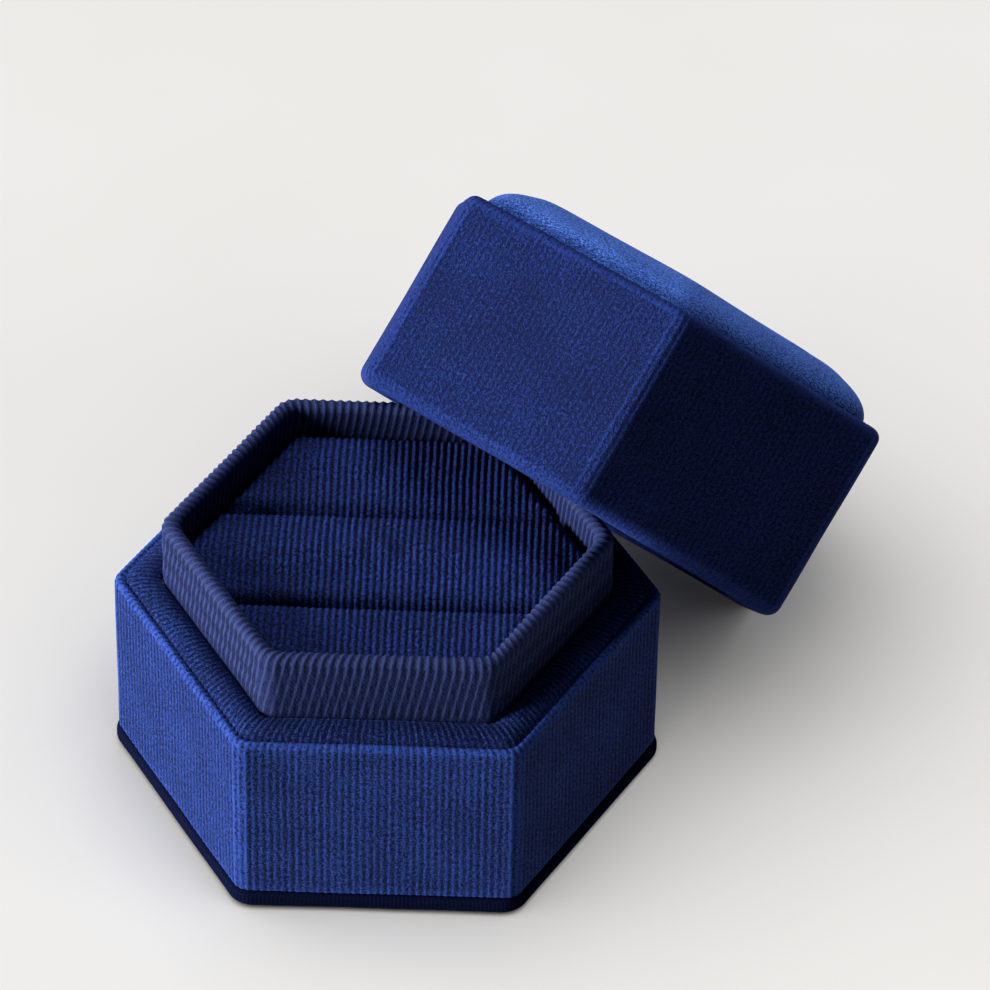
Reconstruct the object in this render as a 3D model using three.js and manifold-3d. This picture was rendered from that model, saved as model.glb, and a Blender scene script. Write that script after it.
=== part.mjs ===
// Hexagonal velvet ring box for two rings, open: the base holds three ribbed pads inside a raised
// collar, and the lifted lid leans on the collar with one corner of its rim on the table.
// Millimetres, +Z up, origin in the middle of the base's underside, flat face of the base towards -Y.
// Every hexagon has a corner on its local X axis. "Apothem" is centre to flat, "radius" centre to corner.
import * as THREE from "three";
import { mergeVertices } from "three/addons/utils/BufferGeometryUtils.js";
import Module from "manifold-3d";

const wasm = await Module();
wasm.setup();

// ---- Driving dimensions -------------------------------------------------------------------------
const boxRadius = 28.2; // walls of base and lid, centre to sharp corner
const wallFillet = 1.7; // rounding of the upright corners of base and lid
const cornerSteps = 3; // facets in each rounded corner

const plateOverhang = 0.35; // how far the bottom plate stands proud of the walls
const plateFillet = 2.1;
const footThickness = 0.4; // flocked paper under the plate
const footInset = 1.0;
const plateThickness = 1.7; // wrapped bottom plate, above the foot sheet
const wrapThickness = 0.4; // cloth round the plate's edge
const wrapTurnIn = 4.0; // width of the cloth turned in under the plate

const velvetThickness = 0.7;
const boardThickness = 1.8; // rigid grey board of the walls and of the lid's top
const shoulderHeight = 22.9; // table to the ledge that the lid closes on
const shoulderWidth = 4.25; // ledge, from the wall's face to the collar

const collarRise = 7.6; // collar above the shoulder
const collarFillet = 2.2;
const collarClothThickness = 0.4;
const collarBoardThickness = 0.8;

const trayThickness = 1.0; // card that the pads are glued to
const padDrop = 3.0; // pad tops below the collar's top
const padEndClearance = 0.35; // pads to the collar's inner cloth
const middlePadWidth = 13.2;
const middlePadShift = -0.8; // its middle lies in front of the box's, so the back pad is the deepest
const slotGap = 0.7; // closed width of each ring slot
const padCoverThickness = 0.7;
const padEdgeRound = 1.6; // rolled top edges of the pads
const padFoamRound = 0.9;

const lidHeight = 22.0; // rim to the top edge of the lid's walls
const lidFitClearance = 0.5; // lid lining to collar when the box is closed
const ceilingPadThickness = 2.0;
const pillowInset = 2.0; // wall face to the foot of the pillow
const pillowRise = 3.6; // pillow above the lid's top edge
const pillowRound = 4.1;
const pillowFoamRound = 3.3;
const pillowFillet = 4.4; // more than pillowRound, so that the rolled edge closes
const pillowBoardThickness = 1.0;
const pillowBoardInset = 1.0; // its edge inside the foam's, so that the cover can round in over it

const layerGap = 0.1; // glue line between neighbouring layers
const leanGap = 0.35; // lid to collar where the lid leans

const lidTilt = 49.7; // degrees from upright
const lidHeading = -39.4; // degrees about +Z
const lidTwist = 1.8; // degrees about the lid's own axis, which brings one rim corner to the table
const leanTouches = [[210, 90], [330, 30]]; // lid side and collar side of each touch, see "The lean"

// ---- Heights and apothems that follow -----------------------------------------------------------
const flatFactor = Math.cos(Math.PI / 6);
const apothem = (radius) => radius * flatFactor;
const radiusOf = (flat) => flat / flatFactor;

const wallFace = apothem(boxRadius);
const plateTop = footThickness + plateThickness;
const collarFace = wallFace - shoulderWidth;
const collarTop = shoulderHeight + collarRise;
const collarBoardFace = collarFace - collarClothThickness - layerGap;
const collarClothInner = collarBoardFace - collarBoardThickness - layerGap;
const wellFace = collarClothInner - collarClothThickness;
const padBottom = plateTop + layerGap + trayThickness + layerGap;
const padTop = collarTop - padDrop;
const lidWall = shoulderWidth - lidFitClearance;

// ---- Helpers ------------------------------------------------------------------------------------
const parts = { base: new THREE.Group(), lid: new THREE.Group() };

function hexagon(flat, fillet, PathClass = THREE.Shape) {
  const outline = new PathClass();
  const centreDistance = radiusOf(flat - fillet);
  for (let k = 0; k < 6; k++) {
    const angle = (k * Math.PI) / 3;
    const x = centreDistance * Math.cos(angle);
    const y = centreDistance * Math.sin(angle);
    outline.absarc(x, y, fillet, angle - Math.PI / 6, angle + Math.PI / 6, false);
  }
  outline.closePath();
  return outline;
}

function prism(outline, bottom, top) {
  const options = { depth: top - bottom, bevelEnabled: false, curveSegments: cornerSteps };
  return new THREE.ExtrudeGeometry(outline, options).translate(0, 0, bottom);
}

// A hexagonal tube, its inner fillet following the outer one so that the wall is even.
function tube(outerFlat, thickness, outerFillet, bottom, top) {
  const outline = hexagon(outerFlat, outerFillet);
  const innerFillet = Math.max(outerFillet - thickness, 0.25);
  outline.holes.push(hexagon(outerFlat - thickness, innerFillet, THREE.Path));
  return prism(outline, bottom, top);
}

// An outline raised from bottom to top with a rolled top edge and a flat underside.
function cushion(outline, bottom, top, round) {
  const options = {
    depth: top - bottom,
    bevelEnabled: true,
    bevelThickness: round,
    bevelSize: round,
    bevelOffset: -round,
    bevelSegments: 3,
    curveSegments: cornerSteps,
  };
  const rolled = new THREE.ExtrudeGeometry(outline, options).translate(0, 0, bottom - round);
  const span = 4 * boxRadius; // wider than any outline here
  const below = new THREE.BoxGeometry(span, span, span).translate(0, 0, bottom - span / 2);
  return cut(rolled, below);
}

function solid(geometry) {
  const bare = geometry.clone();
  bare.deleteAttribute("normal");
  bare.deleteAttribute("uv");
  const merged = mergeVertices(bare, 1e-4);
  const vertProperties = merged.attributes.position.array;
  const triVerts = new Uint32Array(merged.index.array);
  return new wasm.Manifold(new wasm.Mesh({ numProp: 3, vertProperties, triVerts }));
}

function geometryOf(manifold) {
  const mesh = manifold.getMesh();
  const geometry = new THREE.BufferGeometry();
  geometry.setAttribute("position", new THREE.BufferAttribute(mesh.vertProperties, 3));
  geometry.setIndex(new THREE.BufferAttribute(mesh.triVerts, 1));
  const faceted = geometry.toNonIndexed();
  faceted.computeVertexNormals();
  return faceted;
}

function join(first, ...others) {
  const whole = others.reduce((sum, other) => sum.add(solid(other)), solid(first));
  return geometryOf(whole);
}

function cut(first, ...others) {
  const rest = others.reduce((sum, other) => sum.subtract(solid(other)), solid(first));
  return geometryOf(rest);
}

function place(group, name, geometry, color, roughness) {
  const mesh = new THREE.Mesh(geometry, new THREE.MeshStandardMaterial({ color, roughness, metalness: 0 }));
  mesh.name = name;
  group.add(mesh);
  return mesh;
}

// ---- Base: bottom plate -------------------------------------------------------------------------
const plateFace = wallFace + plateOverhang;
{
  const wrapBottom = footThickness;
  const lipTop = wrapBottom + wrapThickness;
  const edge = tube(plateFace, wrapThickness, plateFillet, wrapBottom, plateTop);
  const lip = tube(plateFace, wrapTurnIn, plateFillet, wrapBottom, lipTop);
  place(parts.base, "bottom_wrap", join(edge, lip), "#11142a", 0.95);

  const boardFace = plateFace - wrapThickness - layerGap;
  const board = hexagon(boardFace, plateFillet - wrapThickness);
  place(parts.base, "bottom_board", prism(board, lipTop + layerGap, plateTop), "#8b8578", 0.9);

  const foot = hexagon(plateFace - footInset, plateFillet);
  place(parts.base, "foot_sheet", prism(foot, 0, footThickness), "#0d0f1c", 1);
}

// ---- Base: walls and shoulder -------------------------------------------------------------------
const wallBottom = plateTop + layerGap;
{
  const lipBottom = shoulderHeight - velvetThickness;
  const skin = tube(wallFace, velvetThickness, wallFillet, wallBottom, shoulderHeight);
  const ledge = tube(wallFace, shoulderWidth - layerGap, wallFillet, lipBottom, shoulderHeight);
  place(parts.base, "base_velvet", join(skin, ledge), "#1d2f78", 1);

  const boardFace = wallFace - velvetThickness - layerGap;
  const boardFillet = wallFillet - velvetThickness;
  const boardTop = lipBottom - layerGap;
  const board = tube(boardFace, boardThickness, boardFillet, wallBottom, boardTop);
  place(parts.base, "base_wall_board", board, "#8b8578", 0.9);

  const fillerFace = boardFace - boardThickness - layerGap;
  const fillerThickness = fillerFace - collarBoardFace - layerGap;
  const filler = tube(fillerFace, fillerThickness, collarFillet, wallBottom, boardTop);
  place(parts.base, "shoulder_filler", filler, "#9a9384", 0.9);
}

// ---- Base: collar -------------------------------------------------------------------------------
{
  const clothFoot = shoulderHeight - velvetThickness;
  const boardTop = collarTop - collarClothThickness - layerGap;
  const collarBoardFillet = collarFillet - collarClothThickness;
  const board = tube(collarBoardFace, collarBoardThickness, collarBoardFillet, wallBottom, boardTop);
  place(parts.base, "collar_board", board, "#8b8578", 0.9);

  const innerFillet = collarFillet - (collarFace - collarClothInner);
  const foldBottom = collarTop - collarClothThickness;
  const outside = tube(collarFace, collarClothThickness, collarFillet, clothFoot, collarTop);
  const fold = tube(collarFace, collarFace - wellFace, collarFillet, foldBottom, collarTop);
  const inside = tube(collarClothInner, collarClothThickness, innerFillet, padBottom, collarTop);
  place(parts.base, "collar_cloth", join(outside, fold, inside), "#262d55", 0.8);
}

// ---- Base: insert -------------------------------------------------------------------------------
const padFace = wellFace - padEndClearance;
{
  const trayBottom = plateTop + layerGap;
  const tray = hexagon(wellFace - layerGap, collarFillet - (collarFace - wellFace) + layerGap);
  place(parts.base, "insert_tray", prism(tray, trayBottom, trayBottom + trayThickness), "#8b8578", 0.9);
}

// The slice of a hexagon between two lines of constant Y, as the corners met going round.
function hexagonSlice(flat, low, high) {
  const halfWidth = (y) => radiusOf(flat) - Math.abs(y) / Math.tan(Math.PI / 3);
  const corners = [new THREE.Vector2(-halfWidth(low), low), new THREE.Vector2(halfWidth(low), low)];
  if (low < 0 && high > 0) corners.push(new THREE.Vector2(halfWidth(0), 0));
  corners.push(new THREE.Vector2(halfWidth(high), high), new THREE.Vector2(-halfWidth(high), high));
  if (low < 0 && high > 0) corners.push(new THREE.Vector2(-halfWidth(0), 0));
  return new THREE.Shape(corners);
}

function pad(name, low, high) {
  const skin = padCoverThickness + layerGap;
  const foamFace = padFace - skin;
  const foam = hexagonSlice(foamFace, low + skin, high - skin);
  const hollow = hexagonSlice(foamFace + layerGap, low + padCoverThickness, high - padCoverThickness);
  const foamTop = padTop - skin;
  const outer = cushion(hexagonSlice(padFace, low, high), padBottom, padTop, padEdgeRound);
  const core = cushion(foam, padBottom + layerGap, foamTop, padFoamRound);
  const room = cushion(hollow, padBottom - layerGap, foamTop + layerGap, padFoamRound);
  place(parts.base, name + "_pad_cover", cut(outer, room), "#18225a", 1);
  place(parts.base, name + "_pad_foam", core, "#cfcabb", 1);
}

{
  const middleBack = middlePadShift + middlePadWidth / 2;
  const middleFront = middlePadShift - middlePadWidth / 2;
  pad("front", -padFace, middleFront - slotGap);
  pad("middle", middleFront, middleBack);
  pad("back", middleBack + slotGap, padFace);
}

// ---- Lid, in its own frame: rim at Z = 0, pillow on top -----------------------------------------
{
  const skinTop = lidHeight;
  const liningFace = wallFace - velvetThickness - boardThickness - 2 * layerGap;
  const liningThickness = lidWall - (wallFace - liningFace);
  const boardFace = wallFace - velvetThickness - layerGap;
  const boardFillet = wallFillet - velvetThickness;
  const rimTop = velvetThickness;
  const boardBottom = rimTop + layerGap;
  const deckBottom = lidHeight - velvetThickness;
  const boardTop = deckBottom - layerGap;

  const skin = tube(wallFace, velvetThickness, wallFillet, 0, skinTop);
  const rim = tube(wallFace, lidWall, wallFillet, 0, rimTop);
  const deck = tube(wallFace, pillowInset + wrapTurnIn, wallFillet, deckBottom, skinTop);
  place(parts.lid, "lid_velvet", join(skin, rim, deck), "#1c2b6e", 1);

  const board = tube(boardFace, boardThickness, boardFillet, boardBottom, boardTop);
  place(parts.lid, "lid_wall_board", board, "#8b8578", 0.9);

  const topBoardBottom = boardTop - boardThickness;
  const topBoard = hexagon(liningFace, boardFillet);
  place(parts.lid, "lid_top_board", prism(topBoard, topBoardBottom, boardTop), "#8b8578", 0.9);

  const liningTop = topBoardBottom - layerGap;
  const lining = tube(liningFace, liningThickness, boardFillet, boardBottom, liningTop);
  place(parts.lid, "lid_lining", lining, "#1a2560", 1);

  const ceiling = hexagon(liningFace - liningThickness - layerGap, boardFillet);
  const ceilingBottom = liningTop - ceilingPadThickness;
  const ceilingPad = prism(ceiling, ceilingBottom, liningTop);
  place(parts.lid, "ceiling_pad", ceilingPad, "#1a2560", 1);

  const pillowFoot = lidHeight + layerGap;
  const pillowTop = lidHeight + pillowRise;
  const pillowFace = wallFace - pillowInset;
  const pillowCore = pillowFace - velvetThickness - layerGap;
  const coreFillet = pillowFillet - velvetThickness;
  const cardTop = pillowFoot + pillowBoardThickness;
  const foamTop = pillowTop - velvetThickness - layerGap;
  const card = hexagon(pillowCore - pillowBoardInset, coreFillet);
  place(parts.lid, "pillow_board", prism(card, pillowFoot, cardTop), "#8b8578", 0.9);
  const foam = cushion(hexagon(pillowCore, coreFillet), cardTop + layerGap, foamTop, pillowFoamRound);
  place(parts.lid, "pillow_foam", foam, "#cfcabb", 1);
  const coverOutline = hexagon(pillowFace, pillowFillet);
  const roomOutline = hexagon(pillowCore + layerGap, coreFillet);
  const cover = cushion(coverOutline, pillowFoot, pillowTop, pillowRound);
  const room = cushion(roomOutline, pillowFoot - layerGap, foamTop + layerGap, pillowFoamRound);
  place(parts.lid, "pillow_velvet", cut(cover, room), "#405b9b", 1);
}

// ---- The lean -----------------------------------------------------------------------------------
// Tilt, heading and twist are given. The height then puts the lowest point of the rim on the table,
// and the place on the table follows from two touches. Each is a side of the lid whose inner rim edge
// crosses a top edge of the collar; sides are named by the angle of their outward normal. A touch
// gives one equation that is linear in the unknown place (x, y).
{
  const degrees = THREE.MathUtils.degToRad;
  const turn = new THREE.Matrix4().makeRotationZ(degrees(lidHeading));
  turn.multiply(new THREE.Matrix4().makeRotationX(-degrees(lidTilt)));
  turn.multiply(new THREE.Matrix4().makeRotationZ(degrees(lidTwist)));
  const turned = (x, y, z) => new THREE.Vector3(x, y, z).applyMatrix4(turn);

  const rimPoints = hexagon(wallFace, wallFillet).getPoints(cornerSteps);
  const height = -Math.min(...rimPoints.map((p) => turned(p.x, p.y, 0).z));
  const up = turned(0, 0, 1);
  const innerEdge = wallFace - lidWall;

  const touch = (lidSide, collarSide) => {
    const lidNormal = turned(Math.cos(degrees(lidSide)), Math.sin(degrees(lidSide)), 0);
    const collarNormal = new THREE.Vector3(Math.cos(degrees(collarSide)), Math.sin(degrees(collarSide)), 0);
    const along = new THREE.Vector3(-collarNormal.y, collarNormal.x, 0);
    const onEdge = collarNormal.clone().multiplyScalar(collarFace).setZ(collarTop);
    const slope = up.dot(along) / lidNormal.dot(along);
    const weight = lidNormal.clone().multiplyScalar(slope).sub(up);
    const sum = weight.dot(onEdge) - slope * innerEdge - leanGap - weight.z * height;
    return { x: weight.x, y: weight.y, sum };
  };

  const [left, right] = leanTouches.map(([lidSide, collarSide]) => touch(lidSide, collarSide));
  const determinant = left.x * right.y - left.y * right.x;
  const x = (left.sum * right.y - left.y * right.sum) / determinant;
  const y = (left.x * right.sum - left.sum * right.x) / determinant;

  parts.lid.setRotationFromMatrix(turn);
  parts.lid.position.set(x, y, height);
}

const ringBox = new THREE.Group();
ringBox.add(parts.base, parts.lid);

export default ringBox;
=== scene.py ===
# %% [markdown]
# # A hexagonal velvet ring box
#
# The box is a rigid paper-board box of the kind called "shoulder and neck": a base with a raised collar,
# a padded insert with two slots for rings, and a lid with a padded top that slides over the collar. Here
# the lid is off and leans on the collar. The board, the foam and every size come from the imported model.
# This script makes what the eye sees: cloth. Each cloth is a mesh with its own ribs, because the ribs are
# what light catches on it, and a finer pile that is left to the material.

import math

import bpy
import numpy as np
from mathutils import Matrix, Vector, noise


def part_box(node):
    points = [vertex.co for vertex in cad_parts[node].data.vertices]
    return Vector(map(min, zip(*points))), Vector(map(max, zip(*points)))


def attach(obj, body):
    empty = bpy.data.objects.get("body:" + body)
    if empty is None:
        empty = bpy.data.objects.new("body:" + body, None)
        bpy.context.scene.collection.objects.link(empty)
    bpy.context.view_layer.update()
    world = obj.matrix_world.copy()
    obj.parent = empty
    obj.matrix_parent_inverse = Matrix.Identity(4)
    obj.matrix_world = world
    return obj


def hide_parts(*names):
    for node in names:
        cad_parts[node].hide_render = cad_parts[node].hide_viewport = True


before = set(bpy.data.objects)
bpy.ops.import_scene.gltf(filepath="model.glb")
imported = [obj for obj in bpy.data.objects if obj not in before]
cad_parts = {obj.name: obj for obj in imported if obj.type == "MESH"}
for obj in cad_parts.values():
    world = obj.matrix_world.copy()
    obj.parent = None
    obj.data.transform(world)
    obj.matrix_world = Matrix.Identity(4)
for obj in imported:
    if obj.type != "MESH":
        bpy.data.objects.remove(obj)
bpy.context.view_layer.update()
MM = 0.001
COS30 = math.cos(math.pi / 6)
scene = bpy.context.scene

# %% [markdown]
# ## Camera
#
# A long lens from about 41 degrees above the table keeps the box's upright edges nearly parallel. The
# camera looks at a point between base and lid, and is rolled by a degree, as a hand-held one is.

# %% The camera
CAMERA_AZIMUTH = math.radians(0.91)
CAMERA_ELEVATION = math.radians(41.42)
CAMERA_ROLL = math.radians(1.12)
CAMERA_DISTANCE = 0.669
CAMERA_LENS_MM = 241.0
CAMERA_TARGET = Vector((10.8, 0.0, 35.4)) * MM

level = math.cos(CAMERA_ELEVATION)
backward = Vector(
    (math.sin(CAMERA_AZIMUTH) * level, -math.cos(CAMERA_AZIMUTH) * level, math.sin(CAMERA_ELEVATION))
)
bpy.ops.object.camera_add(location=CAMERA_TARGET + backward * CAMERA_DISTANCE)
camera = bpy.context.object
camera.rotation_mode = "QUATERNION"
roll = Matrix.Rotation(CAMERA_ROLL, 4, "Z").to_quaternion()
camera.rotation_quaternion = (-backward).to_track_quat("-Z", "Y") @ roll
camera.data.lens = CAMERA_LENS_MM
camera.data.sensor_width = 36.0
camera.data.clip_start = 0.01
camera.data.clip_end = 20.0
scene.camera = camera
print("camera at", [round(x, 3) for x in camera.location])

# %% [markdown]
# ## Where the lid is
#
# The base stands square in the frame, but the lid is tilted. Its pieces are modelled upright, rim on the
# ground, and then put in place by one matrix. That matrix is read from the lid's own solids: the widest
# faces of the top board give the direction "up out of the lid", the widest of its other faces give the
# direction of a flat side, and the reach of the rim gives the middle.


# %% The lid's frame, read from its board
def corners_of(node):
    """A node's corner points as an array, in metres."""
    points = np.zeros(len(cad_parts[node].data.vertices) * 3)
    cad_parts[node].data.vertices.foreach_get("co", points)
    return points.reshape(-1, 3)


def widest_normal(node, across=None):
    """The normal that most of a node's surface shares; with `across`, among those square to it."""
    area = {}
    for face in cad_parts[node].data.polygons:
        if across is None or abs(face.normal.dot(across)) < 0.1:
            key = tuple(round(x, 2) for x in face.normal)
            area[key] = area.get(key, 0) + face.area
    return Vector(max(sorted(area), key=area.get)).normalized()


def lid_matrix():
    """Takes a lid piece modelled upright, rim at Z = 0, to where the lid leans."""
    rim_points = corners_of("lid_velvet")
    pillow_points = corners_of("pillow_velvet")
    up = widest_normal("lid_top_board")
    if up.dot(Vector(pillow_points.mean(0) - rim_points.mean(0))) < 0:
        up = -up
    flat = widest_normal("lid_top_board", across=up)
    flat = (flat - up * flat.dot(up)).normalized()
    right = flat.cross(up).normalized()
    middle = Vector((0, 0, 0))
    for axis in (right, flat):
        reach = rim_points @ np.array(axis)
        middle += axis * (reach.min() + reach.max()) / 2
    middle += up * (rim_points @ np.array(up)).min()
    turn = Matrix((right, flat, up)).transposed().to_4x4()
    return Matrix.Translation(middle) @ turn


LID = lid_matrix()
BASE = Matrix.Identity(4)
print("lid leans at", round(math.degrees(math.acos(LID[2][2])), 1), "degrees")


# %% Sizes of a hexagonal node
def hexagon_size(node, matrix):
    """(centre to flat, lowest, highest) of a hexagonal node in an upright frame, in metres."""
    inverse = np.array(matrix.inverted())
    points = corners_of(node) @ inverse[:3, :3].T + inverse[:3, 3]
    return points[:, 1].max(), points[:, 2].min(), points[:, 2].max()


WALL_FLAT, WALL_FOOT, SHOULDER = hexagon_size("base_velvet", BASE)
PLATE_FLAT, PLATE_FOOT, PLATE_TOP = hexagon_size("bottom_wrap", BASE)
COLLAR_FLAT, COLLAR_FOOT, COLLAR_TOP = hexagon_size("collar_cloth", BASE)
COLLAR_BOARD_FLAT, _, COLLAR_BOARD_TOP = hexagon_size("collar_board", BASE)
PAD_FLAT, PAD_FOOT, PAD_TOP = hexagon_size("back_pad_cover", BASE)
LID_FLAT, _, LID_TOP = hexagon_size("lid_velvet", LID)
LINING_FLAT, LINING_FOOT, LINING_TOP = hexagon_size("lid_lining", LID)
CEILING_FLAT, CEILING_FOOT, CEILING_TOP = hexagon_size("ceiling_pad", LID)
PILLOW_FLAT, _, PILLOW_TOP = hexagon_size("pillow_velvet", LID)
print("base across flats, mm:", round(2 * WALL_FLAT / MM, 2), "lid:", round(2 * LID_FLAT / MM, 2))

# %% [markdown]
# ## Colours and a helper for nodes
#
# Every colour is written as a hex value, as in a paint program, and turned to the linear light that
# Blender calculates with. One small function adds a node, sets its values and links its inputs.


# %% Colour and node helpers
def colour(code):
    """A hex colour such as "#1D2F78" as linear red, green, blue and alpha."""
    levels = [int(code[i : i + 2], 16) / 255 for i in (1, 3, 5)]
    linear = [c / 12.92 if c <= 0.04045 else ((c + 0.055) / 1.055) ** 2.4 for c in levels]
    return (*linear, 1.0)


def add(material, kind, values=None, links=None, **settings):
    """Adds a shader node, sets its properties and input values, and links its inputs to other outputs."""
    node = material.node_tree.nodes.new("ShaderNode" + kind)
    for name, value in settings.items():
        setattr(node, name, value)
    for name, value in (values or {}).items():
        node.inputs[name].default_value = value
    for name, output in (links or {}).items():
        material.node_tree.links.new(output, node.inputs[name])
    return node


def blank_material(name):
    """A new material with an empty node tree, and its output node."""
    material = bpy.data.materials.new(name)
    material.use_nodes = True
    material.node_tree.nodes.clear()
    return material, add(material, "OutputMaterial")


def two_tone(material, dark, light, share):
    """A node that mixes two hex colours, dark where `share` is 0 and light where it is 1."""
    ends = {"A": colour(dark), "B": colour(light)}
    return add(material, "Mix", ends, {"Factor": share}, data_type="RGBA")


def rib_wave(material, cloth):
    """The cosine of U in turns: 1 on the crest of each rib and -1 between ribs."""
    parts = add(material, "SeparateXYZ", links={"Vector": cloth.outputs["UV"]})
    turns = add(material, "Math", {1: 2 * math.pi}, {0: parts.outputs["X"]}, operation="MULTIPLY")
    return add(material, "Math", links={0: turns.outputs[0]}, operation="COSINE")


# %% [markdown]
# ## Ribbed velour
#
# The box is covered in a fine ribbed velour: a knitted ground with a short brushed pile. The pile
# scatters light sideways, so the cloth is dark where the eye looks straight into it and bright where it
# curves away: that is the sheen of the shader. Ribs are 0.7 mm apart, and along each rib the knit leaves
# a row of stitches 0.5 mm long. The colour is painted lighter on each rib's crest and darker between the
# ribs: painted highlight and painted shade. The UV map carries both directions in units of one rib: U
# counts ribs and V runs along them, so the stitches follow the cloth wherever it turns. Where the cloth
# bends over an edge or round a corner its colour is painted lighter, a painted highlight, and a point
# attribute says where that is; on the base's ledge the same attribute paints shade.


# %% Velour material
STITCHES_PER_RIB = (2.2, 1.4, 1.0)
PILE_CONTRAST = 4.4
BRUSHED_CONTRAST = 0.7
# Share of the colour painted from bends: a painted highlight at bends, painted shade on the ledge.
PAINTED_LIGHT_SHARE = 0.6


def velour(name, dark_tone, light_tone, sheen_tint, sheen=0.2, painted_rib_share=0.6, stitch_share=1.8, shade=0.27):
    """Brushed knitted pile, lighter at pile ends: painted shade between ribs, painted highlight on crests.
    """
    material, output = blank_material(name)
    cloth = add(material, "UVMap", uv_map="cloth")
    rib = rib_wave(material, cloth)
    stretched = add(material, "Mapping", {"Scale": STITCHES_PER_RIB}, {"Vector": cloth.outputs["UV"]})
    noises = []
    for place, scale, detail, roughness in (
        (stretched.outputs[0], 1.0, 1.0, 0.5),
        (cloth.outputs["UV"], 3.2, 2.0, 0.8),
        (cloth.outputs["UV"], 0.1, 2.0, 0.5),
    ):
        grain = {"Scale": scale, "Detail": detail, "Roughness": roughness}
        noises.append(add(material, "TexNoise", grain, {"Vector": place}))
    stitch, pile, brushed = noises
    painted_light_input = add(material, "Attribute", attribute_name="painted_light_and_shade")
    share = None
    for source, gain, level in (
        # Painted highlight on rib crests and painted shade between ribs.
        (rib.outputs[0], painted_rib_share / 2, shade),
        (stitch.outputs["Fac"], stitch_share, -stitch_share / 2),
        (pile.outputs["Fac"], PILE_CONTRAST, -PILE_CONTRAST / 2),
        (brushed.outputs["Fac"], BRUSHED_CONTRAST, -BRUSHED_CONTRAST / 2),
        # Painted highlight where the cloth bends, painted shade on the base's ledge.
        (painted_light_input.outputs["Fac"], PAINTED_LIGHT_SHARE, 0.0),
    ):
        part = add(material, "Math", {1: gain, 2: level}, {0: source}, operation="MULTIPLY_ADD")
        if share:
            part = add(material, "Math", links={0: share.outputs[0], 1: part.outputs[0]}, operation="ADD")
        share = part
    share.use_clamp = True
    mix = two_tone(material, dark_tone, light_tone, share.outputs[0])
    bump = add(material, "Bump", {"Strength": 1.0, "Distance": 0.12 * MM}, {"Height": share.outputs[0]})
    shader = add(
        material,
        "BsdfPrincipled",
        {
            "Roughness": 0.9,
            "IOR": 1.45,
            "Specular IOR Level": 0.1,
            "Sheen Weight": sheen,
            "Sheen Roughness": 0.35,
            "Sheen Tint": colour(sheen_tint),
        },
        {"Base Color": mix.outputs["Result"], "Normal": bump.outputs["Normal"]},
    )
    material.node_tree.links.new(shader.outputs[0], output.inputs["Surface"])
    return material


WALL_VELOUR = velour("royal blue ribbed velour", "#01082A", "#20377C", "#4A74E0")
# The lid's velour is painted darker than the walls': painted shade.
LID_VELOUR = velour("royal blue fine velour painted darker", "#01082A", "#13255E", "#4468E0", painted_rib_share=0.2)
# The pillow's velour is painted much lighter than the lid's: a painted highlight.
PILLOW_VELOUR = velour(
    "royal blue velour painted lighter", "#082068", "#5A8CFA", "#7CA4FF", sheen=0.5, painted_rib_share=0.15, shade=0.42
)
PAD_VELOUR = velour(
    "ink blue ribbed velour", "#010620", "#192C6C", "#4468E0", painted_rib_share=0.7, stitch_share=2.4
)
print("velours:", WALL_VELOUR.name, LID_VELOUR.name, PILLOW_VELOUR.name, PAD_VELOUR.name)

# %% [markdown]
# ## Ribbed collar cloth
#
# The collar wears a firmer cloth: a woven rep with narrow ribs 0.9 mm apart, like grosgrain ribbon. It has
# no pile and hardly any sheen. A narrow line along each rib's crest is painted lighter, more grey than blue,
# as a painted highlight, and the cloth between ribs is painted darker as shade.


# %% Collar cloth material
THREADS_PER_RIB = (7.0, 1.2, 1.0)
RIB_NARROWNESS = 5.0


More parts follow.
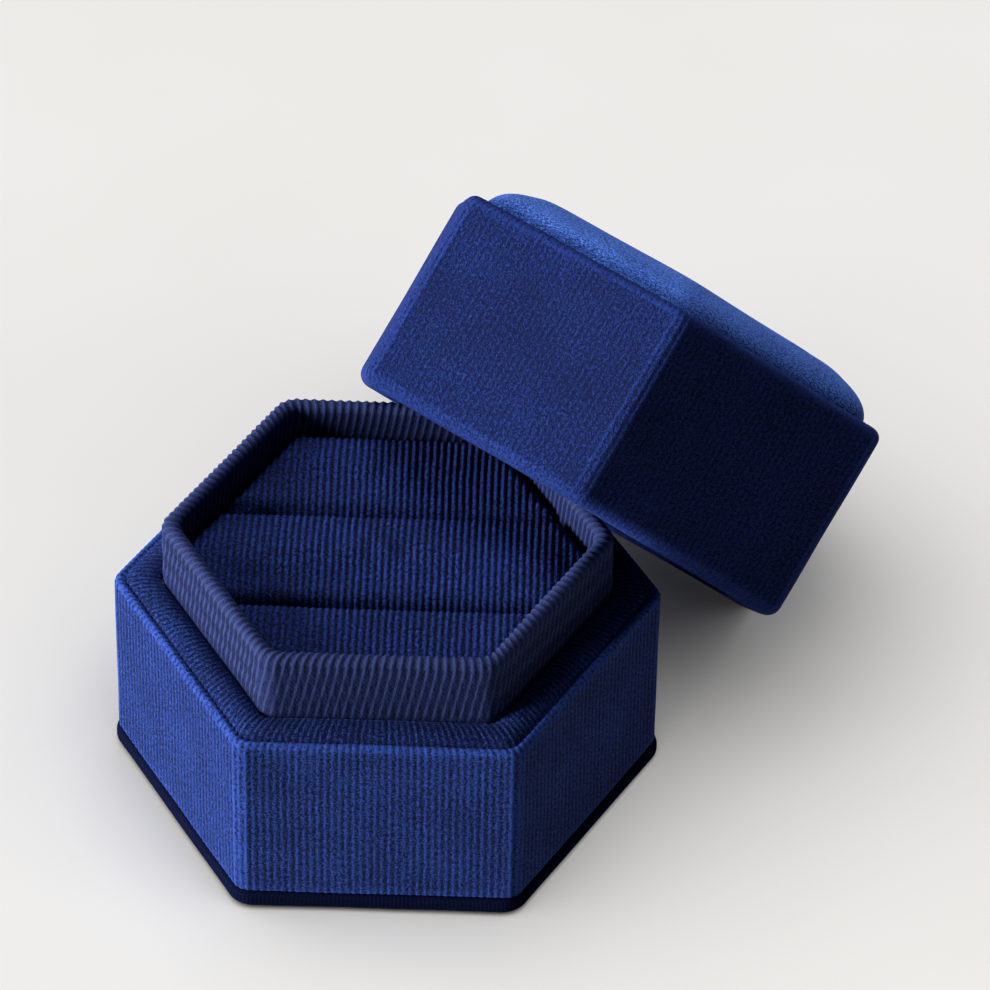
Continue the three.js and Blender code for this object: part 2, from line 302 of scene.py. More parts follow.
def rep_cloth(name, dark_tone, light_tone, gloss=0.03):
    """Woven ribbed cloth: long warp threads, a painted highlight on each rib, painted shade between."""
    material, output = blank_material(name)
    cloth = add(material, "UVMap", uv_map="cloth")
    crest = rib_wave(material, cloth)
    # Painted highlight: a narrow lighter line on each rib's crest, painted shade between ribs.
    ridge = add(material, "Math", {1: 0.5, 2: 0.5}, {0: crest.outputs[0]}, operation="MULTIPLY_ADD")
    painted_crest_light = add(material, "Math", {1: RIB_NARROWNESS}, {0: ridge.outputs[0]}, operation="POWER")
    along = add(material, "Mapping", {"Scale": THREADS_PER_RIB}, {"Vector": cloth.outputs["UV"]})
    threads = add(material, "TexNoise", {"Scale": 1.0, "Detail": 2.0}, {"Vector": along.outputs[0]})
    twist = add(
        material,
        "TexWave",
        {"Scale": 1.1, "Distortion": 2.0, "Detail": 1.0, "Detail Scale": 2.0},
        {"Vector": cloth.outputs["UV"]},
        wave_type="BANDS",
        bands_direction="DIAGONAL",
    )
    painted_light_input = add(material, "Attribute", attribute_name="painted_light_and_shade")
    share = painted_crest_light
    for source, gain, level in (
        (threads.outputs["Fac"], 1.2, -0.45),
        (twist.outputs["Fac"], 0.25, -0.1),
        # Painted highlight where the cloth bends over the collar's top and round its corners.
        (painted_light_input.outputs["Fac"], 0.3, 0.0),
    ):
        part = add(material, "Math", {1: gain, 2: level}, {0: source}, operation="MULTIPLY_ADD")
        share = add(material, "Math", links={0: share.outputs[0], 1: part.outputs[0]}, operation="ADD")
    share.use_clamp = True
    mix = two_tone(material, dark_tone, light_tone, share.outputs[0])
    height = {"Strength": 1.0, "Distance": 0.05 * MM}
    bump = add(material, "Bump", height, {"Height": threads.outputs["Fac"]})
    shader = add(
        material,
        "BsdfPrincipled",
        {
            "Roughness": 0.7,
            "Specular IOR Level": gloss,
            "Sheen Weight": 0.06,
            "Sheen Roughness": 0.3,
            "Sheen Tint": colour("#6080B0"),
        },
        {"Base Color": mix.outputs["Result"], "Normal": bump.outputs["Normal"]},
    )
    material.node_tree.links.new(shader.outputs[0], output.inputs["Surface"])
    return material


COLLAR_REP = rep_cloth("midnight blue ribbed rep", "#080D26", "#232C52")
print("collar cloth:", COLLAR_REP.name)

# %% [markdown]
# ## Board, foam and backing
#
# Inside the cloth the box is grey board, and the pads and pillow are foam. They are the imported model's own
# solids and hardly show, but each gets its real finish: flecked recycled board, open-cell foam, and the
# flocked paper glued under the plate. These read the solids' own coordinates in metres.


# %% Materials for the solids inside
def plain_solid(name, dark, light, grain_mm, roughness, bump_mm, cells=False):
    """A matte material that mottles between two colours at the given grain."""
    material, output = blank_material(name)
    place = add(material, "TexCoord")
    kind = "TexVoronoi" if cells else "TexNoise"
    grain = add(material, kind, {"Scale": 1 / (grain_mm * MM)}, {"Vector": place.outputs["Object"]})
    fleck = grain.outputs["Distance" if cells else "Fac"]
    mix = two_tone(material, dark, light, fleck)
    bump = add(material, "Bump", {"Strength": 0.8, "Distance": bump_mm * MM}, {"Height": fleck})
    shader = add(
        material,
        "BsdfPrincipled",
        {"Roughness": roughness, "Specular IOR Level": 0.2},
        {"Base Color": mix.outputs["Result"], "Normal": bump.outputs["Normal"]},
    )
    material.node_tree.links.new(shader.outputs[0], output.inputs["Surface"])
    return material


GREY_BOARD = plain_solid("grey recycled board", "#6F6A60", "#A39C8C", 0.6, 0.9, 0.05)
PAD_FOAM = plain_solid("polyurethane foam", "#B9B3A2", "#E2DDCE", 0.5, 1.0, 0.15, cells=True)
FLOCKED_PAPER = plain_solid("black flocked paper", "#05060C", "#1A1D30", 0.15, 1.0, 0.05)
INSIDE = {
    GREY_BOARD: (
        "bottom_board base_wall_board shoulder_filler collar_board insert_tray"
        " lid_wall_board lid_top_board pillow_board"
    ),
    PAD_FOAM: "front_pad_foam middle_pad_foam back_pad_foam pillow_foam",
    FLOCKED_PAPER: "foot_sheet",
}
for material, names in INSIDE.items():
    for name in names.split():
        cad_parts[name].data.materials.clear()
        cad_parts[name].data.materials.append(material)
        print(name, "is", material.name)

# %% [markdown]
# ## A band of cloth round a hexagon
#
# Plate, walls, collar and lid are all bands: one section carried round a hexagon with rounded corners.
# A band starts as a circle of six points. Bevelling the points rounds the corners, subdividing the long
# edges gives enough columns to carry ribs, and the loop is then extruded and scaled from one point of the
# section to the next. The columns of every loop stand above each other, so a column's distance round the
# first loop serves as its place in the pattern all the way up.


# %% Extruding a band
def arc(flat, height, radius, start, end, steps):
    """Points of a section along an arc. Angles in degrees, 0 outwards and 90 up."""
    angles = [math.radians(start + (end - start) * i / steps) for i in range(steps + 1)]
    return [(flat + radius * math.cos(a), height + radius * math.sin(a)) for a in angles]


def line(start, end, steps):
    """Points of a section along a line, without its first point."""
    shares = [(i + 1) / steps for i in range(steps)]
    return [(start[0] + (end[0] - start[0]) * s, start[1] + (end[1] - start[1]) * s) for s in shares]


def hexagon_band(name, fillet, section, side_columns, corner_columns):
    """Extrudes a rounded hexagon through a section's points. Returns the piece and its loop's length."""
    (flat, height), *following = section
    bpy.ops.object.select_all(action="DESELECT")
    bpy.ops.mesh.primitive_circle_add(
        vertices=6,
        radius=flat / COS30,
        fill_type="NOTHING",
        location=(0, 0, height),
        rotation=(0, 0, math.pi / 2),
    )
    band = bpy.context.object
    band.name = band.data.name = name
    bpy.ops.object.transform_apply(location=True, rotation=True, scale=True)
    bpy.ops.object.mode_set(mode="EDIT")
    bpy.ops.mesh.select_all(action="SELECT")
    bpy.ops.mesh.bevel(
        offset=fillet * math.tan(math.pi / 6),
        offset_type="OFFSET",
        segments=corner_columns,
        affect="VERTICES",
    )
    bpy.ops.mesh.select_all(action="DESELECT")
    bpy.ops.object.mode_set(mode="OBJECT")
    ends = [(edge, [band.data.vertices[i].co for i in edge.vertices]) for edge in band.data.edges]
    lengths = [(a - b).length for _, (a, b) in ends]
    for (edge, _), length in zip(ends, lengths):
        edge.select = length > max(lengths) / 2
    bpy.ops.object.mode_set(mode="EDIT")
    bpy.ops.mesh.select_mode(type="EDGE")
    bpy.ops.mesh.subdivide(number_cuts=side_columns - 1)
    bpy.ops.mesh.select_all(action="SELECT")
    for next_flat, next_height in following:
        bpy.ops.mesh.extrude_region_move(TRANSFORM_OT_translate={"value": (0, 0, next_height - height)})
        bpy.ops.transform.resize(value=(next_flat / flat, next_flat / flat, 1))
        flat, height = next_flat, next_height
    bpy.ops.object.mode_set(mode="OBJECT")
    return band, len(band.data.vertices) // len(section)


def select_only(piece):
    """Makes a piece the only selected and the active one."""
    bpy.ops.object.select_all(action="DESELECT")
    bpy.context.view_layer.objects.active = piece
    piece.select_set(True)


def select_vertices(piece, chosen):
    """Selects only the vertices for which chosen(index, vertex) is true, and enters edit mode."""
    select_only(piece)
    bpy.ops.object.mode_set(mode="EDIT")
    bpy.ops.mesh.select_mode(type="VERT")
    bpy.ops.mesh.select_all(action="DESELECT")
    bpy.ops.object.mode_set(mode="OBJECT")
    for vertex in piece.data.vertices:
        vertex.select = bool(chosen(vertex.index, vertex))
    bpy.ops.object.mode_set(mode="EDIT")


def face_outwards():
    """Turns all faces of the piece in edit mode outwards and leaves edit mode."""
    bpy.ops.mesh.select_all(action="SELECT")
    bpy.ops.mesh.normals_make_consistent(inside=False)
    bpy.ops.object.mode_set(mode="OBJECT")


def close_ring(band, loop):
    """Bridges the last loop of a band to its first, so that the section closes on itself."""
    last = len(band.data.vertices) - loop
    select_vertices(band, lambda i, v: i < loop or i >= last)
    bpy.ops.mesh.bridge_edge_loops()
    face_outwards()


def cap_ends(band, loop):
    """Fills the first and the last loop of a stack."""
    last = len(band.data.vertices) - loop
    select_vertices(band, lambda i, v: i < loop)
    bpy.ops.mesh.edge_face_add()
    bpy.ops.object.mode_set(mode="OBJECT")
    select_vertices(band, lambda i, v: i >= last)
    bpy.ops.mesh.edge_face_add()
    face_outwards()


# %% [markdown]
# ## Ribs
#
# A rib is a small move of each vertex along its normal, highest in the middle of the rib. The same
# numbers go into the UV map, so that the material's colour and the relief agree. A little noise bends
# the ribs, because cloth is never laid perfectly straight, and a slower noise lets the surface bulge.


# %% Pattern coordinates and relief
SHARP_RADIUS_MM = 1.2
# Painted shade on the base's ledge and its crease: a value below 0 that darkens the colour there.
LEDGE_PAINTED_SHADE = -0.25


def positions(piece):
    """The piece's vertices as an array of points."""
    points = np.zeros(len(piece.data.vertices) * 3)
    piece.data.vertices.foreach_get("co", points)
    return points.reshape(-1, 3)


def move_to(piece, points):
    """Puts the piece's vertices at the given points."""
    piece.data.vertices.foreach_set("co", points.ravel())
    piece.data.update()


def normals(piece):
    """The piece's vertex normals as an array."""
    directions = np.zeros(len(piece.data.vertices) * 3)
    piece.data.vertex_normals.foreach_get("vector", directions)
    return directions.reshape(-1, 3)


def soft_noise(points, size_mm, seed):
    """Smooth noise of about -1 to 1 at each point, with lumps of the given size."""
    scaled = points / (size_mm * MM) + seed * 17.3
    return np.array([noise.noise(Vector(p)) for p in scaled])


def band_pattern(band, loop, section, pitch, slant=0.0, wobble=0.12, seed=1):
    """(U, V) of each vertex of a band, in ribs: U round the hexagon, V along the section."""
    points = positions(band)
    ring = points[:loop]
    order = np.argsort(np.arctan2(ring[:, 1], ring[:, 0]))
    steps = np.linalg.norm(np.diff(ring[order], axis=0, append=ring[order][:1]), axis=1)
    ribs = round(steps.sum() / pitch)
    around = np.zeros(loop)
    around[order] = np.concatenate([[0], np.cumsum(steps)[:-1]]) / steps.sum() * ribs
    profile = np.array(section)
    along = np.concatenate([[0], np.cumsum(np.linalg.norm(np.diff(profile, axis=0), axis=1))]) / pitch
    rows = np.arange(len(points)) // loop
    v = along[rows]
    u = around[np.arange(len(points)) % loop] + slant * v + wobble * soft_noise(points, 7, seed)
    return u, v, ribs


def write_uv(piece, u, v, ribs=None):
    """Writes U and V to the piece's UV map. Faces that close the ring count on from the last rib."""
    layer = piece.data.uv_layers.new(name="cloth")
    corner = np.zeros(len(piece.data.loops), dtype=int)
    piece.data.loops.foreach_get("vertex_index", corner)
    places = np.stack([u[corner], v[corner]], axis=1)
    if ribs:
        for face in piece.data.polygons:
            span = slice(face.loop_start, face.loop_start + face.loop_total)
            around = places[span, 0]
            if around.max() - around.min() > ribs / 2:
                places[span, 0] = np.where(around < ribs / 2, around + ribs, around)
    layer.data.foreach_set("uv", places.ravel())


def sharpness_of(points, closed):
    """How sharply a line turns at each point: 0 where straight, 1 at SHARP_RADIUS_MM or less."""
    before = points - np.roll(points, 1, axis=0)
    after = np.roll(points, -1, axis=0) - points
    if not closed:
        before[0], after[-1] = after[0], before[-1]
    cross = before[:, 0] * after[:, 1] - before[:, 1] * after[:, 0]
    angle = np.abs(np.arctan2(cross, (before * after).sum(axis=1)))
    length = (np.linalg.norm(before, axis=1) + np.linalg.norm(after, axis=1)) / 2
    return (angle / length * SHARP_RADIUS_MM * MM).clip(0, 1)


def write_painted_light(band, loop, section, shaded_rows=()):
    """Stores a painted highlight where a band bends over an edge or corner, painted shade on given rows."""
    ring = positions(band)[:loop, :2]
    order = np.argsort(np.arctan2(ring[:, 1], ring[:, 0]))
    round_corner = np.zeros(loop)
    round_corner[order] = sharpness_of(ring[order], closed=True)
    over_edge = sharpness_of(np.array(section), closed=False)
    index = np.arange(len(band.data.vertices))
    painted_light_and_shade = np.maximum(round_corner[index % loop], over_edge[index // loop])
    # Painted shade: these rows get a negative value, which darkens their colour.
    painted_light_and_shade[np.isin(index // loop, shaded_rows)] = LEDGE_PAINTED_SHADE
    layer = band.data.attributes.new(name="painted_light_and_shade", type="FLOAT", domain="POINT")
    layer.data.foreach_set("value", painted_light_and_shade)


def draped(points, centre):
    """Distances across and along a cloth that lies on a pad and hangs down its sides, from `centre`."""
    x, y, z = (points - np.array(centre)).T
    return x - z * np.tanh(x / (2 * MM)), y - z * np.tanh(y / (2 * MM))


def raise_ribs(piece, u, height, weight=1.0, sharpness=0.8, bulge=0.0, seed=5):
    """Moves each vertex along its normal: half a rib's height out on crests, half in between them."""
    points = positions(piece)
    crest = np.abs(np.cos(math.pi * u)) ** sharpness - 0.5
    lift = height * crest * weight
    if bulge:
        lift = lift + bulge * soft_noise(points, 9, seed) * weight
    move_to(piece, points + normals(piece) * lift[:, None])


def finish_piece(piece, material, body, replaced, matrix=BASE):
    """Gives a piece its material, smooth shading and place, parents it to its body, hides what it replaces.
    """
    piece.data.materials.clear()
    piece.data.materials.append(material)
    select_only(piece)
    bpy.ops.object.shade_smooth()
    piece.data.transform(matrix)
    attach(piece, body)
    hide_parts(*replaced)
    print(piece.name, "has", len(piece.data.polygons), "faces")


def row_weight(band, loop, first, last, fade=2):
    """1 for rows from first to last, falling to 0 over a few rows outside them."""
    rows = np.arange(len(band.data.vertices)) // loop
    outside = np.maximum(first - rows, rows - last).clip(0, fade)
    return 1 - outside / fade


# %% [markdown]
# ## The base's velour
#
# One cloth covers the walls, rolls over their top edge and lies on the ledge up to the collar. It comes
# in under itself at the foot, where it meets the plate. The ledge has a strip of wadding under it, so it
# bulges between the collar and a crease just inside the wall's upper edge.

# %% Base velour
VELOUR_PITCH = 0.7 * MM
VELOUR_THICKNESS = 0.7 * MM
WALL_FILLET = 1.7 * MM
LIP_WIDTH = 1.0 * MM
LEDGE_RISE = 0.7 * MM
SIDE_COLUMNS = 222
CORNER_COLUMNS = 10


def base_velour():
    """The velour over the base's walls and ledge."""
    inner = WALL_FLAT - VELOUR_THICKNESS
    foot_roll = 0.45 * MM
    lip_roll = 0.6 * MM
    lip_top = SHOULDER - 0.2 * MM
    ledge_end = COLLAR_FLAT + 0.1 * MM
    under = SHOULDER - VELOUR_THICKNESS
    section = [(inner, WALL_FOOT)]
    section += arc(WALL_FLAT - foot_roll, WALL_FOOT + foot_roll, foot_roll, -90, 0, 3)
    hidden = len(section) - 4
    section += line(section[-1], (WALL_FLAT, lip_top - lip_roll), 20)
    section += arc(WALL_FLAT - lip_roll, lip_top - lip_roll, lip_roll, 15, 90, 5)
    crease = WALL_FLAT - LIP_WIDTH
    section += [(crease, SHOULDER - 0.55 * MM)]
    ledge_start = len(section) - 1
    for i in range(10):
        angle = math.radians(162 - 144 * i / 9)
        share = i / 9
        flat = (crease - 0.1 * MM) * (1 - share) + (ledge_end + 0.05 * MM) * share
        section.append((flat, SHOULDER - 0.35 * MM + LEDGE_RISE * math.sin(angle) ** 0.7))
    section += [(ledge_end, SHOULDER - 0.45 * MM)]
    visible = len(section) - 1
    section += [(ledge_end, under), (inner, under)]
    band, loop = hexagon_band("base_velour", WALL_FILLET, section, SIDE_COLUMNS, CORNER_COLUMNS)
    close_ring(band, loop)
    u, v, ribs = band_pattern(band, loop, section, VELOUR_PITCH)
    write_uv(band, u, v, ribs)
    # The ledge and its crease are painted darker: painted shade.
    write_painted_light(band, loop, section, shaded_rows=range(ledge_start, visible))
    weight = row_weight(band, loop, hidden, visible)
    raise_ribs(band, u, 0.11 * MM, weight, bulge=0.10 * MM)
    finish_piece(band, WALL_VELOUR, "base", ["base_velvet"])


base_velour()

# %% [markdown]
# ## The plate's cloth
#
# The bottom plate is a separate board wrapped in a thin dark cloth, a little wider than the walls. Its
# edges are soft because the cloth pulls over the board's corners.

# %% Plate cloth
PLATE_CLOTH = rep_cloth("navy book cloth", "#02030C", "#0A0E24", gloss=0.0)
PLATE_CLOTH_PITCH = 0.35 * MM
PLATE_FILLET = 2.1 * MM


def plate_cloth():
    """The wrapped edge of the bottom plate, turned in under it."""
    roll = 0.6 * MM
    thickness = 0.4 * MM
    turn_in = 4 * MM
    under_wall = PLATE_FLAT - 2.2 * MM
    bottom = PLATE_FOOT
    top = PLATE_TOP
    section = [(PLATE_FLAT - turn_in, bottom + thickness)]
    section += line(section[0], (PLATE_FLAT - turn_in, bottom), 1)
    section += arc(PLATE_FLAT - roll, bottom + roll, roll, -90, 0, 4)
    section += arc(PLATE_FLAT - roll, top + 0.08 * MM - roll, roll, 0, 90, 4)
    section += [(under_wall, top + 0.03 * MM), (under_wall, top - 0.05 * MM)]
    section += [(PLATE_FLAT - thickness, top - 0.1 * MM - roll / 2)]
    section += [(PLATE_FLAT - thickness, bottom + thickness)]
    band, loop = hexagon_band("plate_cloth", PLATE_FILLET, section, 60, 8)
    close_ring(band, loop)
    u, v, ribs = band_pattern(band, loop, section, PLATE_CLOTH_PITCH)
    write_uv(band, u, v, ribs)
    write_painted_light(band, loop, section)
    raise_ribs(band, u, 0.0, bulge=0.06 * MM, seed=3)
    finish_piece(band, PLATE_CLOTH, "base", ["bottom_wrap"])


plate_cloth()

# %% [markdown]
# ## The collar's cloth
#
# The ribbed cloth stands proud of the base, goes over the collar's rounded top and down inside it to the
# pads. Its ribs lean a little, because the strip was cut slightly off the thread. Each rib is a narrow
# ridge on flat ground, and it keeps that shape over the top of the collar.

# %% Collar cloth
REP_PITCH = 0.9 * MM
REP_SLANT = -0.2
COLLAR_FILLET = 2.2 * MM


def collar_cloth():
    """The collar's cloth: outside, over the top, inside, and back round the board."""
    board_inner = 2 * COLLAR_BOARD_FLAT - COLLAR_FLAT - 0.7 * MM
    roll = (COLLAR_FLAT - board_inner) / 2
    inside = COLLAR_FLAT - 2 * roll
    middle = COLLAR_FLAT - roll
    reach = PAD_TOP - 5 * MM
    thickness = 0.35 * MM
    under_board = COLLAR_BOARD_TOP + 0.05 * MM
    section = [(COLLAR_FLAT, COLLAR_FOOT)]
    section += line(section[0], (COLLAR_FLAT, COLLAR_TOP - roll), 10)
    section += arc(middle, COLLAR_TOP - roll, roll, 15, 180, 11)
    section += line(section[-1], (inside, reach), 9)
    visible = len(section) - 1
    section += [(inside, PAD_FOOT), (inside + thickness, PAD_FOOT), (inside + thickness, under_board)]
    section += [(COLLAR_FLAT - thickness, under_board), (COLLAR_FLAT - thickness, COLLAR_FOOT)]
    band, loop = hexagon_band("collar_rep", COLLAR_FILLET, section, 166, 14)
    close_ring(band, loop)
    u, v, ribs = band_pattern(band, loop, section, REP_PITCH, slant=REP_SLANT, wobble=0.15, seed=2)
    write_uv(band, u, v, ribs)
    write_painted_light(band, loop, section)
    weight = row_weight(band, loop, 0, visible)
    raise_ribs(band, u, 0.17 * MM, weight, sharpness=2.8, bulge=0.06 * MM, seed=9)
    finish_piece(band, COLLAR_REP, "base", ["collar_cloth"])


collar_cloth()

# %% [markdown]
# ## Pads
#
# Three foam pads fill the collar, and the slots between them hold the rings. A pad starts as a cube at
# the size of its solid. Four bisect cuts give it the slanted ends that follow the collar, a bevel rolls
# its top edges, and a row of further cuts gives the cover enough faces to bulge. Cloth with a little
# pressure then makes it swell over the foam, and ribs come last, across the pad from slot to slot.


# %% Swelling a cover with Cloth
SWELL_FRAMES = 20


def puff(piece, glued, most, pressure=4.0, enlarged=12.0):
    """Swells a closed cover by pressure, outwards only, because foam fills it.

    Cloth is meant for cushion-sized things, so the piece is enlarged while it runs.
    """
    rest, outward = positions(piece), normals(piece)
    held = [i for i, point in enumerate(rest) if glued(point)]
    piece.data.transform(Matrix.Scale(enlarged, 4))
    group = piece.vertex_groups.new(name="glued")
    group.add(held, 1.0, "REPLACE")
    cloth = piece.modifiers.new("Swell", "CLOTH")
    cloth.settings.use_pressure = True
    cloth.settings.uniform_pressure_force = pressure
    cloth.settings.effector_weights.gravity = 0
    cloth.settings.vertex_group_mass = "glued"
    cloth.point_cache.frame_start = 1
    cloth.point_cache.frame_end = SWELL_FRAMES
    for number in range(1, SWELL_FRAMES + 1):
        scene.frame_set(number)
    select_only(piece)
    bpy.ops.object.modifier_apply(modifier="Swell")
    scene.frame_set(1)
    piece.vertex_groups.clear()
    swell = ((positions(piece) / enlarged - rest) * outward).sum(axis=1).clip(0, most)
    move_to(piece, rest + outward * swell[:, None])
    print(piece.name, "swelled by at most", round(float(swell.max()) / MM, 2), "mm")


def subdivide_smooth(piece, levels):
    """Adds a subdivision surface and applies it."""
    select_only(piece)
    smooth = piece.modifiers.new("Smooth", "SUBSURF")
    smooth.levels = smooth.render_levels = levels
    bpy.ops.object.modifier_apply(modifier="Smooth")


# %% Cutting a pad
PAD_PITCH = 0.72 * MM
PAD_ROLL = 1.5 * MM
COLUMN = 0.95 * MM
ROW = 1.2 * MM
LAYER_MM = 1.3
LAYERS = 7
RIB_REACH = 9 * MM  # how far down a pad's side its ribs go, fading over the lower half


def cut_through(point, normal, clear=False):
    """Bisects everything in edit mode. With `clear`, what lies beyond goes and the cut is filled."""
    bpy.ops.mesh.select_all(action="SELECT")
    bpy.ops.mesh.bisect(plane_co=point, plane_no=normal, clear_outer=clear, use_fill=clear)


def pad_cover(name, node):
    """One pad's cover, from its solid's box and the collar's slanted sides."""
    low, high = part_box(node)
    middle = (low + high) / 2
    bpy.ops.object.select_all(action="DESELECT")
    bpy.ops.mesh.primitive_cube_add(size=1, location=middle, scale=high - low)
    pad = bpy.context.object
    pad.name = pad.data.name = name
    bpy.ops.object.transform_apply(location=True, rotation=True, scale=True)
    bpy.ops.object.mode_set(mode="EDIT")
    for angle in (30, 150, 210, 330):
        direction = Vector((math.cos(math.radians(angle)), math.sin(math.radians(angle)), 0))
        cut_through(direction * PAD_FLAT, direction, clear=True)
    bpy.ops.object.mode_set(mode="OBJECT")
    select_vertices(pad, lambda i, v: v.co.z > high.z - 0.01 * MM)
    bpy.ops.mesh.bevel(offset=PAD_ROLL, offset_type="OFFSET", segments=4, affect="EDGES")
    for i in range(1, LAYERS + 1):
        cut_through((0, 0, high.z - PAD_ROLL - i * LAYER_MM * MM), (0, 0, 1))
    columns = round((high.x - low.x) / COLUMN)
    for i in range(1, columns):
        cut_through((low.x + (high.x - low.x) * i / columns, 0, 0), (1, 0, 0))
    flat_top = high.y - low.y - 2 * PAD_ROLL
    rows = round(flat_top / ROW)
    bpy.ops.object.mode_set(mode="OBJECT")
    for i in range(1, rows):
        select_vertices(pad, lambda i, v: v.co.z > high.z - 0.01 * MM)
        y = low.y + PAD_ROLL + flat_top * i / rows
        bpy.ops.mesh.bisect(plane_co=(0, y, 0), plane_no=(0, 1, 0))
        bpy.ops.object.mode_set(mode="OBJECT")
    select_vertices(pad, lambda i, v: True)
    face_outwards()
    puff(pad, lambda point: point[2] < low.z + 1 * MM, most=0.7 * MM)
    subdivide_smooth(pad, 3)
    points = positions(pad)
    wave = 0.12 * soft_noise(points, 6, 4)
    u = points[:, 0] / PAD_PITCH + wave
    v = draped(points, (middle.x, middle.y, high.z))[1] / PAD_PITCH
    write_uv(pad, u, v)
    depth = (high.z - points[:, 2]) / RIB_REACH
    raise_ribs(pad, u, 0.2 * MM, (2 - 2 * depth).clip(0, 1), bulge=0.12 * MM, seed=11)
    finish_piece(pad, PAD_VELOUR, "base", [node])


for place in ("front", "middle", "back"):
    pad_cover(f"{place}_pad_velour", f"{place}_pad_cover")

# %% [markdown]
# ## The lid's velour
#
# The lid's cloth starts inside the rim, rolls round it, covers the walls and rolls over the top edge to a
# narrow border. There it dips into the groove where the pillow is tucked in. It is modelled upright and
# then laid in the lean by the lid's matrix.

# %% Lid velour
RIM_ROLL = 1.5 * MM
TOP_ROLL = 1.1 * MM
GROOVE = 0.7 * MM


def lid_velour():
    """The lid's outer cloth: rim, walls, top border and the strip under the pillow."""
    inner = LID_FLAT - VELOUR_THICKNESS
    rim_inner = LINING_FLAT + 0.05 * MM
    border = PILLOW_FLAT + 0.5 * MM
    tuck = PILLOW_FLAT - 4 * MM
    under = LID_TOP - VELOUR_THICKNESS - 0.02 * MM
    edge, half = rim_inner - 0.6 * MM, VELOUR_THICKNESS / 2
    section = [(inner, VELOUR_THICKNESS), (edge, VELOUR_THICKNESS)]
    section += arc(edge, half, half, 90, 270, 4)[1:]
    hidden = 2
    section += arc(LID_FLAT - RIM_ROLL, RIM_ROLL, RIM_ROLL, -90, 0, 7)
    section += line(section[-1], (LID_FLAT, LID_TOP - TOP_ROLL), 18)
    section += arc(LID_FLAT - TOP_ROLL, LID_TOP - TOP_ROLL, TOP_ROLL, 12, 90, 7)
    section += [(border + 0.1 * MM, LID_TOP - 0.12 * MM), (border - 0.15 * MM, LID_TOP - GROOVE)]
    section += [(border - 0.8 * MM, LID_TOP - GROOVE), (tuck, LID_TOP - GROOVE)]
    visible = len(section) - 2
    section += [(tuck, under), (inner, under)]
    band, loop = hexagon_band("lid_velour", WALL_FILLET, section, SIDE_COLUMNS, CORNER_COLUMNS)
    close_ring(band, loop)
    u, v, ribs = band_pattern(band, loop, section, VELOUR_PITCH, seed=6)
    write_uv(band, u, v, ribs)
    write_painted_light(band, loop, section)
    weight = row_weight(band, loop, hidden, visible)
    raise_ribs(band, u, 0.11 * MM, weight, bulge=0.09 * MM, seed=7)
    finish_piece(band, LID_VELOUR, "lid", ["lid_velvet"], LID)


lid_velour()

# %% [markdown]
# ## Inside the lid
#
# The walls are lined with the same cloth as the pads, and a thin padded panel closes the ceiling. Both
# show only when the lid is seen from its open side.

# %% Lining and ceiling
LINING_FILLET = 1.2 * MM


def lid_lining():
    """The lining of the lid's walls, with soft edges at rim and ceiling."""
    inside = CEILING_FLAT + 0.1 * MM
    roll = (LINING_FLAT - inside) / 2
    section = [(LINING_FLAT, LINING_TOP)]
    section += line(section[0], (LINING_FLAT, LINING_FOOT + roll), 2)
    section += arc(LINING_FLAT - roll, LINING_FOOT + roll, roll, 0, -180, 6)[1:]
    section += line(section[-1], (inside, LINING_TOP), 12)
    band, loop = hexagon_band("lining_velour", LINING_FILLET, section, 130, 6)
    close_ring(band, loop)
    u, v, ribs = band_pattern(band, loop, section, VELOUR_PITCH, seed=8)
    write_uv(band, u, v, ribs)
    write_painted_light(band, loop, section)
    raise_ribs(band, u, 0.08 * MM, bulge=0.08 * MM, seed=12)
    finish_piece(band, PAD_VELOUR, "lid", ["lid_lining"], LID)


def ceiling_panel():
    """The padded panel that closes the lid's ceiling, swollen towards the opening."""
    flat, top, bottom = CEILING_FLAT, CEILING_TOP, CEILING_FOOT
    roll = 0.9 * MM
    section = [(flat - 14 * MM, top), (flat - 5 * MM, top), (flat, top)]
    section += arc(flat - roll, bottom + roll, roll, 0, -90, 4)
    section += line(section[-1], (0.5 * MM, bottom), 14)
    panel, loop = hexagon_band("ceiling_velour", LINING_FILLET, section, 14, 3)
    cap_ends(panel, loop)
    puff(panel, lambda point: point[2] > top - 0.2 * MM, most=0.9 * MM)
    subdivide_smooth(panel, 2)
    points = positions(panel)
    u, v = (reach / VELOUR_PITCH for reach in draped(points * (1, 1, -1), (0, 0, -bottom)))
    write_uv(panel, u, v)
    finish_piece(panel, PAD_VELOUR, "lid", ["ceiling_pad"], LID)


lid_lining()
ceiling_panel()

# %% [markdown]
# ## The pillow
#
# The lid's top is a hexagonal pillow: velour drawn over foam and glued down round its foot. It climbs
# steeply from the groove and then crowns gently to the middle. The stack below has that shape already,
# and Cloth adds the uneven swell between its corners.

# %% Pillow
PILLOW_FILLET = 3.2 * MM
SQUARENESS = 0.87  # 1 gives an ellipse, less a squarer shoulder


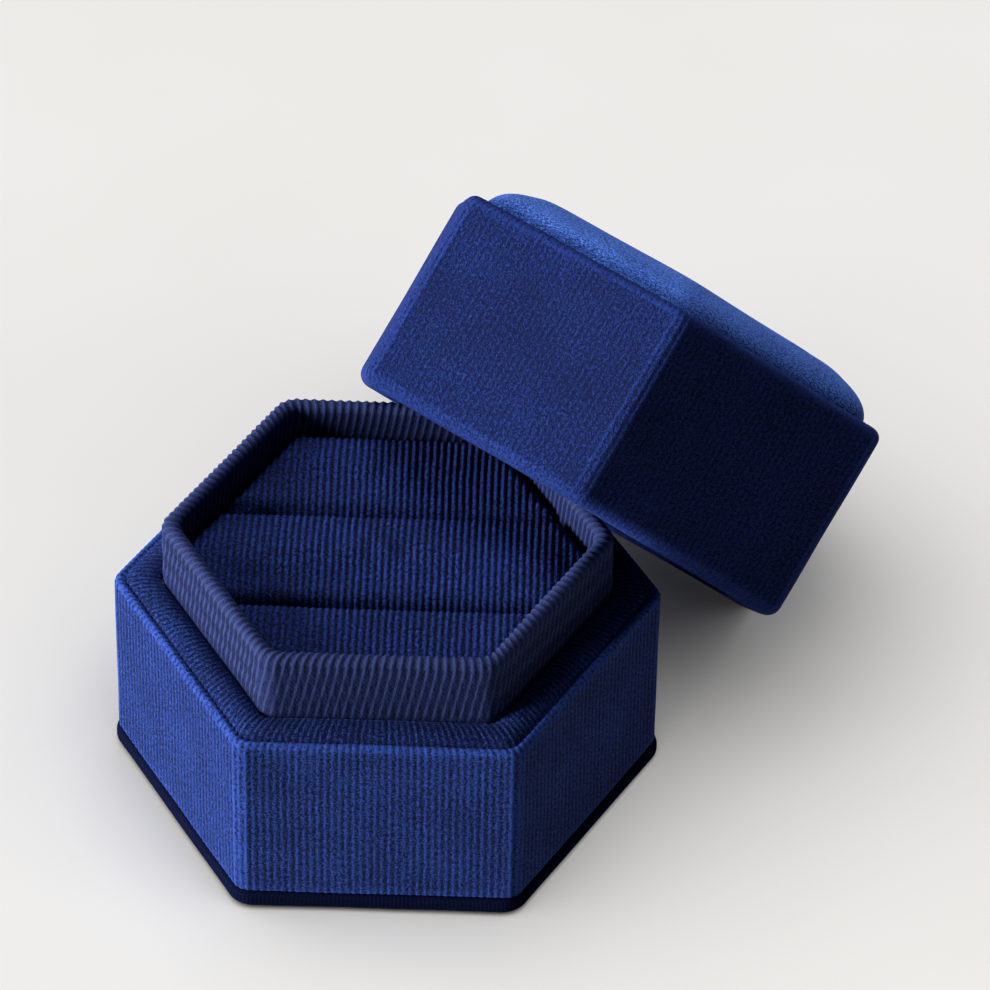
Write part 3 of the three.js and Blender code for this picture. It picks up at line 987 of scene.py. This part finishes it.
def pillow():
    """The padded top of the lid: a slightly squared quarter ellipse, then a nearly flat crown."""
    foot = LID_TOP - GROOVE + 0.05 * MM
    foot_flat = PILLOW_FLAT + 0.2 * MM
    crown_in = 7.8 * MM
    rise = PILLOW_TOP - 0.25 * MM - foot
    section = [(foot_flat - 3 * MM, foot), (foot_flat - 0.2 * MM, foot)]
    for i in range(11):
        angle = math.radians(4 + 86 * i / 10)
        flat = foot_flat - crown_in * (1 - math.cos(angle) ** SQUARENESS)
        section.append((flat, foot + rise * math.sin(angle) ** SQUARENESS))
    start_flat, start_height = section[-1]
    for i in range(1, 10):
        share = i / 9
        flat = start_flat * (1 - share) + 0.6 * MM * share
        section.append((flat, start_height + 0.3 * MM * (1 - (1 - share) ** 2)))
    piece, loop = hexagon_band("pillow_velour", PILLOW_FILLET, section, 18, 4)
    cap_ends(piece, loop)
    puff(piece, lambda point: point[2] < foot + 0.3 * MM, most=0.2 * MM)
    subdivide_smooth(piece, 2)
    points = positions(piece)
    wave = 0.1 * soft_noise(points, 8, 14)
    across, along = draped(points, (0, 0, PILLOW_TOP))
    u, v = across / VELOUR_PITCH + wave, along / VELOUR_PITCH
    write_uv(piece, u, v)
    raise_ribs(piece, u, 0.0, bulge=0.12 * MM, seed=15)
    finish_piece(piece, PILLOW_VELOUR, "lid", ["pillow_velvet"], LID)


pillow()

# %% [markdown]
# ## Floor and light
#
# A plain pale floor, and soft light as in a small studio. The key is a large panel low on the left,
# which rakes across the ribs, and a weaker one above picks out the pillow. Both light only the box, and
# two others light only the floor, through light linking: deep blue velvet needs much more light than
# a white floor, which would burn out and throw its light back onto the walls.

# %% Floor
bpy.ops.object.select_all(action="DESELECT")
bpy.ops.mesh.primitive_plane_add(size=6.0, location=(0, 0, 0))
floor = bpy.context.object
floor.name = "floor"
floor_material = plain_solid("matte white card", "#E8E6E2", "#EFEDEA", 40.0, 0.8, 0.0)
floor.data.materials.append(floor_material)
print("floor made")


# %% Lights
def panel_light(name, place, target, size, power, tint="#FFFFFF"):
    """A square soft panel that faces its target. Places and size in metres, power in watts."""
    bpy.ops.object.light_add(type="AREA", location=place)
    lamp = bpy.context.object
    lamp.name = name
    lamp.rotation_mode = "QUATERNION"
    lamp.rotation_quaternion = (Vector(target) - Vector(place)).to_track_quat("-Z", "Y")
    lamp.data.shape = "SQUARE"
    lamp.data.size = size
    lamp.data.energy = power
    lamp.data.color = colour(tint)[:3]
    return lamp


AIM = (0.01, 0.01, 0.02)
key = panel_light("key", (-0.97, -0.3, 0.18), AIM, 0.6, 62.0, "#FFFDF8")
top = panel_light("top", (-0.25, 0.55, 0.9), AIM, 0.5, 13.0)
overhead = panel_light("overhead", (-0.5, -0.1, 1.5), AIM, 2.6, 36.0)
floor_fill = panel_light("floor fill", (0.8, -0.6, 1.3), AIM, 1.6, 9.0)
pieces = [piece for piece in scene.objects if piece.type == "MESH" and piece is not floor]
for title, lit, lamps in (
    ("floor only", [floor], (overhead, floor_fill)),
    ("box only", pieces, (key, top)),
):
    group = bpy.data.collections.new(title)
    for piece in lit:
        group.objects.link(piece)
    for lamp in lamps:
        lamp.light_linking.receiver_collection = group

world = bpy.data.worlds.new("studio")
world.use_nodes = True
background = world.node_tree.nodes["Background"]
background.inputs["Color"].default_value = colour("#EEF1F6")
background.inputs["Strength"].default_value = 0.12
scene.world = world
scene.view_settings.view_transform = "Standard"
print("lights:", key.name, top.name, overhead.name, floor_fill.name)
